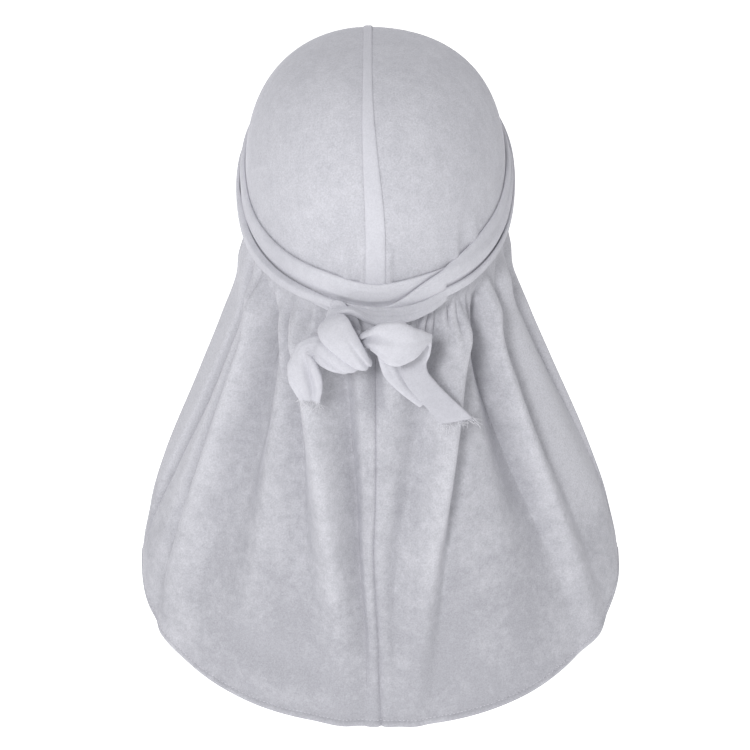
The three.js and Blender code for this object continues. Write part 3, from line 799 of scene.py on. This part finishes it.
def cape_surface(side, folds, gathers, sizes, down, spacing=0.006):
    """The cape's outer face on a grid whose columns follow the fold lines, and flat coordinates."""
    down = down[:, None]
    lines = fold_line({k: v[None, :] for k, v in folds.items()}, down)
    faded = smooth(down, FOLDS_HOLD, 1)
    heights = FOLD_HEIGHT * folds["rise"][None, :] * lerp(1, folds["hem"][None, :], faded)
    widest = np.max([np.diff(folds[key]) for key in ("top", "middle", "bottom")], axis=0)
    counts = np.maximum(np.ceil(widest / spacing).astype(int), 5)
    place = np.concatenate([k + np.arange(count) / count for k, count in enumerate(counts)])
    place = np.append(place, len(counts))
    k = np.minimum(place.astype(int), lines.shape[1] - 2)
    share = (place - k)[None, :]
    across = lerp(lines[:, k], lines[:, k + 1], share)
    rise = lerp(heights[:, k], heights[:, k + 1], smooth(share, 0, 1))
    turn = side * CAPE_SPREAD * across
    top = rim_height(turn) - SEAM_GAP
    corner = (1 - np.cos(math.pi / 2 * across)) ** HEM_ROUND
    hem = rim_height(0) - CAPE_LENGTH + CORNER_RISE * corner
    height = lerp(top, hem, down)
    below = band_height(turn) - TIES_REACH_DOWN * TIE_WIDTH - height
    draped = smooth(below, 0, DRAPE_START)
    small = gathered(gathers, across, below) * sizes.gather_height / MM
    angle = np.radians(turn)
    from_seam = angle * HALF_LENGTH
    under_knot = smooth(below, 8, 20) * (1 - smooth(below, 30, 75))
    dip = SEAM_DIP * hump(from_seam, 0, 1.1) * smooth(below, 0, 20)
    dip = dip + KNOT_DIP * hump(from_seam, 0, 6.5) * under_knot
    waves = waved(side, across, down)
    flare = read(CAPE_FLARE, "flare", down)
    half = lerp(HALF_WIDTH, CAPE_HALF, flare)
    depth = lerp(HALF_LENGTH, CAPE_DEPTH, down)
    back = lerp(HALF_LENGTH, HALF_LENGTH + CAPE_LEAN, down)
    out = unit(stack(np.sin(angle) / half, -np.cos(angle) / depth, 0 * down))
    hanging = stack(
        half * np.sin(angle) + CAPE_ASIDE * down**2,
        depth * (1 - np.cos(angle)) - back,
        height - CROWN_HEIGHT,
    )
    near = over_head(turn, np.maximum(height, -HEAD_REACHES_DOWN * NAPE_HEIGHT), 0)
    near[..., 2] = hanging[..., 2]
    at = lerp(near, hanging, draped[..., None])
    lift = rise * draped + small + (waves - dip) * draped
    at = at + out * lift[..., None]
    at[..., 0] += side * SEAM_GAP / 2 + read(SEAM_WANDER, "aside", down) * hump(across, 0, 0.25)
    # Painted light and shade, kept as the attribute pile: ridges, gathers and waves are painted
    # lighter and valleys darker, with a painted shadow under the knot, painted shade along the seam
    # and low in the middle, and painted light high up at the sides
    pile = (
        0.85 * rise / FOLD_HEIGHT * draped * (1 - 0.4 * faded) + 0.35 * small
        - 3 * hump(from_seam, 0, 6) * under_knot - 0.9 * hump(from_seam, 0, 0.9)
        + 0.3 * waves * smooth(down, 0.5, 0.8)
        - 0.9 * smooth(down, 0.5, 0.85) * (1 - smooth(across, 0.35, 0.65))
        + 1.3 * smooth(across, 0.62, 0.8) * (1 - smooth(down, 0.6, 0.85))
    )
    cloth = side * across * half * 1.5
    return at, stack(cloth, height, np.clip(pile, DARKEST_PAINTED_SHADE, BRIGHTEST_PAINTED_LIGHT))


def cape_wall(side, middle, hem_width, rows_to_hem, corner=14):
    """Gives the cape its thickness, with a narrow turned hem that is thicker and stitched down."""
    normal = unit(np.cross(np.gradient(middle, axis=0), np.gradient(middle, axis=1) * side))
    turned = 1 - smooth(rows_to_hem, hem_width * 0.9, hem_width * 1.25)
    rounded = 1 - 0.6 * hump(rows_to_hem, 0, 1.2)
    pressed = STITCH_DEPTH * hump(rows_to_hem, hem_width * STITCHES_AT, 0.8)
    columns = np.arange(middle.shape[1])
    from_corner = np.minimum(0.3 + columns / 6, (columns[-1] - columns) / corner).clip(0, 1)
    hem = HEM_SWELL * turned * rounded - pressed
    return middle + normal * (CAPE_CLOTH + hem[:, None] * from_corner[None, :])[..., None]


# Ties


def other_ties(turn, height, layer):
    """For a place on a tie: how far another lies over it, and how many layers lie under it."""
    over = np.zeros(np.broadcast(turn, height).shape)
    under = over.copy()
    for route, way in ((LEFT_ROUTE, 1), (RIGHT_ROUTE, -1)):
        for lap in (0, 360):
            there = (way * turn + 180) % 360 - 180 + lap
            inside = (there >= route["turn"][0]) & (there <= route["turn"][-1])
            apart = read(route, "layer", there) - layer
            aside = np.abs(height - band_height(there) - TIE_WIDTH * read(route, "lane", there))
            half = TIE_WIDTH * read(route, "width", there) / 2
            lies_over = 1 - smooth(aside, half + 0.3, half + 4.2)
            over = np.maximum(over, np.where(inside & (apart > ANOTHER_LAYER), lies_over, 0))
            lies_under = (1 - smooth(aside, half - 0.5, half + 2)) * (layer + apart + 1)
            under = np.maximum(under, np.where(inside & (apart < -ANOTHER_LAYER), lies_under, 0))
    return over, np.minimum(under, layer)


def creases(across, along, seed, width):
    """Creases that run along a tie, wander, and come and go. Each is a groove between soft banks."""
    height = 0
    for k in range(CREASES):
        middle = -0.8 + 1.6 * (k + 0.5) / CREASES
        middle = middle + 0.5 / CREASES * np.sin(along / (31 + 9 * k) + seed * 1.7 + 2.1 * k)
        deep = 0.55 + 0.45 * np.sin(along / (19 + 5 * k) + seed * 2.3 + 1.3 * k)
        bank = hump(across, middle - 0.3 / CREASES, 0.35 / CREASES) * 0.35
        height = height + deep * (bank - hump(across, middle, width))
    return height


SECTION_ANGLE = np.concatenate(
    [np.linspace(0, math.pi, EDGE_POINTS), np.linspace(math.pi, 2 * math.pi, INNER_POINTS)[1:-1]]
)


def section(width, depth, round_share):
    """A tie's section: places across and out for each point, from a flat strip to an oval."""
    a = np.cos(SECTION_ANGLE)[None, :]
    power = lerp(FLAT_POWER, OVAL_POWER, round_share)
    out = np.sign(np.sin(SECTION_ANGLE))[None, :] * (1 - np.abs(a) ** power).clip(0) ** (1 / power)
    return a, a * width / 2, out * depth / 2


def tie_section(at, face, *size):
    """A section of a tie off the head: width, depth, roundness, folds and groove."""
    return {"at": at, "face": face, "size": np.array(size, float)}


def tie_on_head(route, way, seed, sizes, step=1.5):
    turn = np.arange(route["turn"][0], route["turn"][-1] + step / 2, step)[:, None]
    lane, width = read(route, "lane", turn), TIE_WIDTH * read(route, "width", turn)
    layer = read(route, "layer", turn)

    def middle(where):
        height = band_height(where) + TIE_WIDTH * read(route, "lane", where)
        return over_head(way * where, height, 0)

    height = band_height(turn) + TIE_WIDTH * lane
    forwards = unit(middle(turn + 1) - middle(turn - 1))
    face = outwards(way * turn, height)
    upwards = unit(np.cross(face, forwards))
    a, across, out = section(width, TIE_CLOTH, 0)
    beside = middle(turn) + upwards * across[..., None]
    turn_there = np.degrees(np.arctan2(beside[..., 0] / HALF_WIDTH, -beside[..., 1] / HALF_LENGTH))
    height_there = beside[..., 2] + CROWN_HEIGHT
    over, under = other_ties(turn_there, height_there, layer)
    lift = CROWN_CLOTH + CLEARANCE + under * (TIE_CLOTH + GAP) + TIE_CLOTH / 2
    along = np.radians(turn) * TIE_RADIUS
    starts = smooth(turn, route["turn"][0], route["turn"][0] + 30)
    dome = (1 - a**4).clip(0) ** 0.6
    narrow = (width / TIE_WIDTH).clip(0, 1) ** 1.2
    crease = creases(a, along, seed, HEAD_CREASE)
    swell = sizes.tie_swell / MM * narrow * (dome + 0.3 * crease).clip(0) * (1 - over) * starts
    outer = np.sin(SECTION_ANGLE)[None, :] > 0
    rings = over_head(turn_there, height_there, lift + out + np.where(outer, swell, 0))
    lift = CROWN_CLOTH + GAP + layer * (TIE_CLOTH + GAP) + TIE_CLOTH / 2
    at = over_head(way * turn[-1], height[-1], lift[-1])[0]
    last = tie_section(at, face[-1, 0], width[-1, 0], TIE_CLOTH + 1.2, 0.2, 0.4, 0)
    # Painted light at the back, where the band faces down, and painted darker to the left of it
    pile = 2.5 * hump(turn_there, 0, 30) - 1.5 * hump(turn_there, -42, 16)
    return rings, stack(across, along, pile), last


def in_knot(rows):
    """The tie's sections where it wraps round the knot."""
    tilt = math.radians(KNOT_TILT)
    axis = np.array([math.cos(tilt), 0, math.sin(tilt)])
    up = np.array([-math.sin(tilt), 0, math.cos(tilt)])
    sections = []
    for along, angle, reach, width, depth, folds, groove in zip(*rows.values()):
        rise = math.cos(math.radians(angle))
        back = np.array([0, -math.sin(math.radians(angle)), 0])
        at = KNOT_MIDDLE + axis * along + reach * (KNOT_TALL * rise * up + back)
        face = unit(rise / KNOT_TALL * up + back)
        sections.append(tie_section(at, face, width, depth, 1, folds, groove))
    return sections


def off_head(rows):
    """The tie's sections before and beyond the knot."""
    sections = []
    for right, up, out, facing, lean, width, depth, folds, groove in zip(*rows.values()):
        turn, tip = math.radians(facing), math.radians(lean)
        level = math.cos(tip)
        face = np.array([level * math.sin(turn), -level * math.cos(turn), math.sin(tip)])
        at = KNOT_MIDDLE + np.array([right, -out, up])
        sections.append(tie_section(at, face, width, depth, LOOSE_ROUND, folds, groove))
    return sections


def through(points, t):
    """A smooth line through points at t from 0 to 1, and its direction."""
    last = len(points) - 1
    k = min(int(t * last), last - 1)
    w = t * last - k
    a = points[k - 1] if k else 2 * points[0] - points[1]
    b, c = points[k], points[k + 1]
    d = points[k + 2] if k + 2 <= last else 2 * points[-1] - points[-2]
    steps = [np.linalg.norm(q - p) ** 0.5 for p, q in ((a, b), (b, c), (c, d))]
    steps[1] = steps[1] if steps[1] > 1e-2 else 1
    steps = [s if s > 1e-2 else steps[1] for s in steps]
    leave = ((b - a) / steps[0] - (c - a) / (steps[0] + steps[1]) + (c - b) / steps[1]) * steps[1]
    reach = ((c - b) / steps[1] - (d - b) / (steps[1] + steps[2]) + (d - c) / steps[2]) * steps[1]
    square, cube = -3 * b + 3 * c - 2 * leave - reach, 2 * b - 2 * c + leave + reach
    return b + leave * w + square * w**2 + cube * w**3, leave + 2 * square * w + 3 * cube * w**2


def tie_in_air(sections, seed, start, slant, tail_darkening, steps_each=10):
    """Rings of a tie off the head: bunched in the knot, flat in the loop and the tails."""
    points, faces, sizes = ([s[key] for s in sections] for key in ("at", "face", "size"))
    count = (len(sections) - 1) * steps_each
    rings, flats, travelled, before = [], [], start, None
    for n in range(count + 1):
        t = n / count
        at, forwards = through(points, t)
        forwards = unit(forwards)
        upwards = unit(np.cross(through(faces, t)[0], forwards))
        face = unit(np.cross(forwards, upwards))
        width, depth, round_share, folds, groove = through(sizes, t)[0]
        if before is not None:
            travelled += float(np.linalg.norm(at - before))
        before = at
        a, across, out = (x[0] for x in section(width, depth, np.clip(round_share, 0, 1)))
        deepest = min(CREASE_SHARE * width, DEEPEST_CREASE)
        swell = creases(a, travelled, seed, LOOSE_CREASE) * folds * deepest
        swell = swell - max(groove, 0) * hump(a, 0.3, 0.2)
        hollow = np.abs(np.sin(SECTION_ANGLE)) ** 0.5
        shift = slant * a * smooth(t, CUT_STARTS, 1) * width / 2
        out = out + np.where(np.sin(SECTION_ANGLE) > 0, 1, -0.5) * swell * hollow
        rings.append(at + np.outer(across, upwards) + np.outer(out, face) + np.outer(shift, forwards))
        # The tail is painted darker towards its end, through the attribute pile
        flats.append(stack(across, travelled, tail_darkening * smooth(t, *TAIL_STARTS)))
    cut = {"points": rings[-1][:EDGE_POINTS], "forwards": forwards}
    return np.array(rings), np.array(flats), cut


def whole_tie(route, way, parts, seed, sizes, slant, tail_darkening):
    """A tie's rings from the forehead to its cut end."""
    approach, wrap, end = parts
    head_rings, head_flat, last = tie_on_head(route, way, seed, sizes)
    sections = [last, *off_head(approach), *in_knot(wrap), *off_head(end)]
    rings, flat, cut = tie_in_air(sections, seed + 3, float(head_flat[-1, 0, 1]), slant, tail_darkening)
    return np.concatenate([head_rings, rings[1:]]), np.concatenate([head_flat, flat[1:]]), cut


# What a user may change


class DuragSizes(bpy.types.PropertyGroup):
    pucker_height: FloatProperty(
        name="Pucker height", description="How far the crown's small puckers stand up",
        default=0.0015, unit="LENGTH",
    )
    gather_height: FloatProperty(
        name="Gather height", description="How far the cape's small gathers stand up below the ties",
        default=0.0013, unit="LENGTH",
    )
    tie_swell: FloatProperty(
        name="Swell of the ties", description="How far the ties puff up where nothing lies on them",
        default=0.0017, unit="LENGTH",
    )
    hem_width: FloatProperty(
        name="Hem width", description="Depth of the cape's turned and stitched hem",
        default=0.005, unit="LENGTH",
    )
    stitch_step: FloatProperty(
        name="Stitch step", description="From the middle of one stitch to that of the next",
        default=0.0024, unit="LENGTH",
    )
    yarn_length: FloatProperty(
        name="Longest loose yarn", description="Length of the longest yarn at a tie's frayed end",
        default=0.008, unit="LENGTH",
    )
    yarns: IntProperty(
        name="Loose yarns", description="Number of loose yarns at each frayed end", default=80,
    )


class DuragVelvet(bpy.types.PropertyGroup):
    # The two pile colours give both the random patches and the painted light and shade
    light: FloatVectorProperty(
        name="Light pile", description="Colour where the pile leans to the light",
        default=(0.585, 0.585, 0.63), subtype="COLOR",
    )
    shaded: FloatVectorProperty(
        name="Shaded pile", description="Colour where the pile leans away",
        default=(0.43, 0.43, 0.47), subtype="COLOR",
    )
    thread: FloatVectorProperty(
        name="Thread", description="Colour of the sewing thread and the loose yarns",
        default=(0.58, 0.58, 0.62), subtype="COLOR",
    )
    roughness: FloatProperty(
        name="Roughness", description="How little the velvet shines", default=0.8, subtype="FACTOR",
    )
    sheen: FloatProperty(
        name="Sheen", description="How much light the tips of the pile catch", default=0.25,
        subtype="FACTOR",
    )
    patch_scale: FloatProperty(
        name="Patches per metre", description="How many patches of leaning pile lie in a metre",
        default=45,
    )
    grain_scale: FloatProperty(
        name="Grains per metre", description="How fine the grain of the pile is", default=1100,
    )
    # How strongly the attribute pile paints light and shade into the velvet's colour
    painted_light_strength: FloatProperty(
        name="Painted light and shade in the folds", description="How strongly the folds paint light and shade into the colour",
        default=0.2, subtype="FACTOR",
    )
    pile_bump: FloatProperty(
        name="Pile relief", description="How strongly the pile's grain catches the light",
        default=0.35, subtype="FACTOR",
    )


class DuragStudio(bpy.types.PropertyGroup):
    elevation: FloatProperty(
        name="Camera elevation", description="Angle from which the camera looks down",
        default=math.radians(27), subtype="ANGLE",
    )
    distance: FloatProperty(
        name="Camera distance", description="From the camera to the middle of the picture",
        default=1.5, unit="LENGTH",
    )
    lens: FloatProperty(
        name="Lens", description="Focal length of the camera in millimetres", default=121.2,
    )
    floor_drop: FloatProperty(
        name="Floor", description="How far the floor lies under the cape's hem", default=0.35,
        unit="LENGTH",
    )
    floor_glow: FloatProperty(
        name="Floor glow", description="Light that the pale floor gives of itself", default=0.8,
    )
    key_power: FloatProperty(
        name="Main light", description="Power of the soft light above the camera, in watts",
        default=27,
    )
    surround: FloatProperty(
        name="Surround", description="Brightness of the pale room", default=0.42,
    )


# Operators


class DURAG_OT_studio(bpy.types.Operator):
    """Pale floor, soft lights and a camera that looks down at the knot"""

    bl_idname = "durag.studio"
    bl_label = "Studio"

    def execute(self, context):
        studio = context.scene.durag_studio
        looks = Vector((0, math.cos(studio.elevation), -math.sin(studio.elevation)))
        data = bpy.data.cameras.new("camera")
        data.lens, data.sensor_width = studio.lens, 36
        data.shift_x = PICTURE_SHIFT
        data.clip_start, data.clip_end = 0.05, 60
        camera = put("camera", data)
        camera.location = Vector(CAMERA_TARGET) - looks * studio.distance
        camera.rotation_euler = looks.to_track_quat("-Z", "Y").to_euler()
        context.scene.camera = camera
        self.floor(studio)
        self.lights(context, studio)
        context.scene.view_settings.view_transform = "Standard"
        return {"FINISHED"}

    def floor(self, studio):
        level = model_box[0].z - studio.floor_drop
        corners = ((-1, -1), (1, -1), (1, 1), (-1, 1))
        mesh = bpy.data.meshes.new("floor")
        mesh.from_pydata(
            [(x * FLOOR_REACH, y * FLOOR_REACH, level) for x, y in corners], [], [(0, 1, 2, 3)]
        )
        material, tree, surface = shader("pale_floor")
        feed(tree, surface, {
            "Base Color": ranged(tree, noise(tree, Scale=3), 0, 1, 0.93, 0.96),
            "Roughness": 0.9,
            "Emission Color": WHITE,
            "Emission Strength": studio.floor_glow,
        })
        mesh.materials.append(material)
        put("floor", mesh)

    def lights(self, context, studio):
        world = bpy.data.worlds.new("pale_room")
        world.use_nodes = True
        room = world.node_tree.nodes["Background"]
        feed(world.node_tree, room, {"Color": WHITE, "Strength": studio.surround})
        context.scene.world = world
        for name, spot, size, power in (
            ("main_light", (-0.5, -1.8, 0.9), 0.5, studio.key_power),
            ("top_light", (0.1, 0.3, 1.9), 1.6, studio.key_power * 0.4),
        ):
            data = bpy.data.lights.new(name, "AREA")
            data.shape, data.size, data.energy = "DISK", size, power
            light = put(name, data)
            light.location = spot
            looks = Vector(LIGHTS_AIM) - light.location
            light.rotation_euler = looks.to_track_quat("-Z", "Y").to_euler()


class DURAG_OT_crown(bpy.types.Operator):
    """The crown's two stretched halves, the strip over their join and the strip along the forehead"""

    bl_idname = "durag.crown"
    bl_label = "Crown"

    def execute(self, context):
        sizes, pile = context.scene.durag_sizes, context.scene.durag_velvet
        # Shade paints the crown darker and the seam strip a little lighter: painted light and shade on
        # one velvet
        stretched = velvet("crown_velvet", pile, shade=0.92, crush=0.8)
        sewn = velvet("seam_velvet", pile, shade=1.01, crush=0.4, rough=0.5)
        for side, name, puckers in ((-1, "left", LEFT_PUCKERS), (1, "right", RIGHT_PUCKERS)):
            outer, flat = crown_face(side, CROWN_CLOTH, puckers, sizes)
            inner, _ = crown_face(side, 0, puckers, sizes)
            node = "crown_panel_" + name
            thing = new_object("crown_" + name, *wall(outer, inner, flat, pole=True), stretched)
            finish_cloth(thing, node, (0.3, 0.125), 0.026)
        for name, node, (faces, flat), cloth, area in (
            ("seam_strip", "crown_seam", seam_faces(), (0.012, 0.31), 0.0022),
            ("front_strip", "front_band", front_faces(), (0.01, 0.09), None),
        ):
            thing = new_object(name, *wall(*faces, flat), sewn)
            finish_cloth(thing, node, cloth, area)
        return {"FINISHED"}


class DURAG_OT_cape(bpy.types.Operator):
    """The two halves of the cape, with their folds, the gathers under the ties and a stitched hem"""

    bl_idname = "durag.cape"
    bl_label = "Cape"

    def execute(self, context):
        sizes, pile = context.scene.durag_sizes, context.scene.durag_velvet
        # Shade paints the cape darker than the other pieces: painted shade
        hanging = velvet("cape_velvet", pile, shade=0.82, crush=1.3)
        hem = sizes.hem_width / MM
        rows = np.array([2.2, 1.7, 1.3, 1.1, 1, 0.93, STITCHES_AT, 0.79, 0.7, 0.5, 0.3, 0.12, 0])
        above = np.linspace(0, 1 - 3 * hem / CAPE_LENGTH, 150)
        down = np.concatenate([above, 1 - rows * hem / CAPE_LENGTH])
        to_hem = (1 - down) * CAPE_LENGTH
        stitched = int(np.argmin(np.abs(to_hem - STITCHES_AT * hem)))
        stitches = {
            "Step": sizes.stitch_step, "Stitch Length": sizes.stitch_step * 0.75, "Thread": 0.00038,
            "Wander": 0.00008, "Seed": 3, "Material": thread_material("hem_thread", pile.thread),
        }
        tree = stitch_tree(stitches)
        for side, name, folds, gathers in (
            (-1, "left", LEFT_FOLDS, LEFT_GATHERS),
            (1, "right", RIGHT_FOLDS, RIGHT_GATHERS),
        ):
            inner, flat = cape_surface(side, folds, gathers, sizes, down)
            outer = cape_wall(side, inner, hem, to_hem)
            thing = new_object("cape_" + name, *wall(outer, inner, flat), hanging)
            line = line_object("line", outer[stitched] + 0.1 * unit(outer[stitched] - inner[stitched]))
            sewing = grown("hem_stitches_" + name, line, tree, stitches)
            finish_trim(sewing)
            finish_cloth(
                thing, "cape_panel_" + name, (0.21, 0.281),
                0.056,
            )
        return {"FINISHED"}


class DURAG_OT_ties(bpy.types.Operator):
    """The two ties, wound round the head and knotted at the back, with frayed cut ends"""

    bl_idname = "durag.ties"
    bl_label = "Ties"

    def execute(self, context):
        sizes, pile = context.scene.durag_sizes, context.scene.durag_velvet
        # Shade paints the ties a little darker than the seam strip: painted shade
        bunched = velvet("tie_velvet", pile, shade=0.97, crush=0.5, rough=0.5)
        yarns = {
            "Yarns": sizes.yarns, "Longest": sizes.yarn_length, "Thread": 0.00014, "Spread": 0.5,
            "Direction": (0, 0, -1), "Seed": 5, "Material": thread_material("loose_yarn", pile.thread),
        }
        tree = fray_tree(yarns)
        # The number before the area is how much darker each tie's tail is painted
        for name, way, route, approach, wrap, end, slant, seed, tail_darkening, area in (
            ("left", 1, LEFT_ROUTE, LEFT_APPROACH, LEFT_WRAP, LEFT_END, -0.6, 2, -2.3, 0.016),
            ("right", -1, RIGHT_ROUTE, RIGHT_APPROACH, RIGHT_WRAP, RIGHT_END, 0.3, 7, -0.5, 0.014),
        ):
            parts = (approach, wrap, end)
            rings, flat, cut = whole_tie(route, way, parts, seed, sizes, slant, tail_darkening)
            thing = new_object(name + "_tie", *tube(rings, flat), bunched)
            yarns.update({"Direction": tuple(cut["forwards"]), "Seed": seed})
            frays = grown("frayed_end_" + name, line_object("line", cut["points"]), tree, yarns)
            finish_trim(frays)
            finish_cloth(
                thing, "tie_" + name, (0.02, 1.0),
                area,
            )
        rings, flat, _ = tie_in_air(off_head(INNER_FOLD), 4, 0, 0, 0)
        inner = new_object("left_tie_inner_fold", *tube(rings, flat), bunched)
        finish_trim(inner)
        return {"FINISHED"}


class DURAG_PT_panel(bpy.types.Panel):
    bl_label = "Durag"
    bl_space_type = "VIEW_3D"
    bl_region_type = "UI"
    bl_category = "Durag"

    def draw(self, context):
        for group in ("durag_sizes", "durag_velvet", "durag_studio"):
            settings = getattr(context.scene, group)
            box = self.layout.box()
            for key in settings.bl_rna.properties.keys():
                if key not in ("rna_type", "name"):
                    box.prop(settings, key)
        for step in STEPS:
            self.layout.operator(step.bl_idname)


STEPS = (DURAG_OT_studio, DURAG_OT_crown, DURAG_OT_cape, DURAG_OT_ties)
GROUPS = {"durag_sizes": DuragSizes, "durag_velvet": DuragVelvet, "durag_studio": DuragStudio}


def register():
    for cls in (*GROUPS.values(), *STEPS, DURAG_PT_panel):
        bpy.utils.register_class(cls)
    for name, cls in GROUPS.items():
        setattr(bpy.types.Scene, name, PointerProperty(type=cls))


def unregister():
    for name in GROUPS:
        delattr(bpy.types.Scene, name)
    for cls in reversed((*GROUPS.values(), *STEPS, DURAG_PT_panel)):
        bpy.utils.unregister_class(cls)


def main():
    register()
    bpy.ops.durag.studio()
    bpy.ops.durag.crown()
    bpy.ops.durag.cape()
    bpy.ops.durag.ties()


if __name__ == "__main__":
    main()
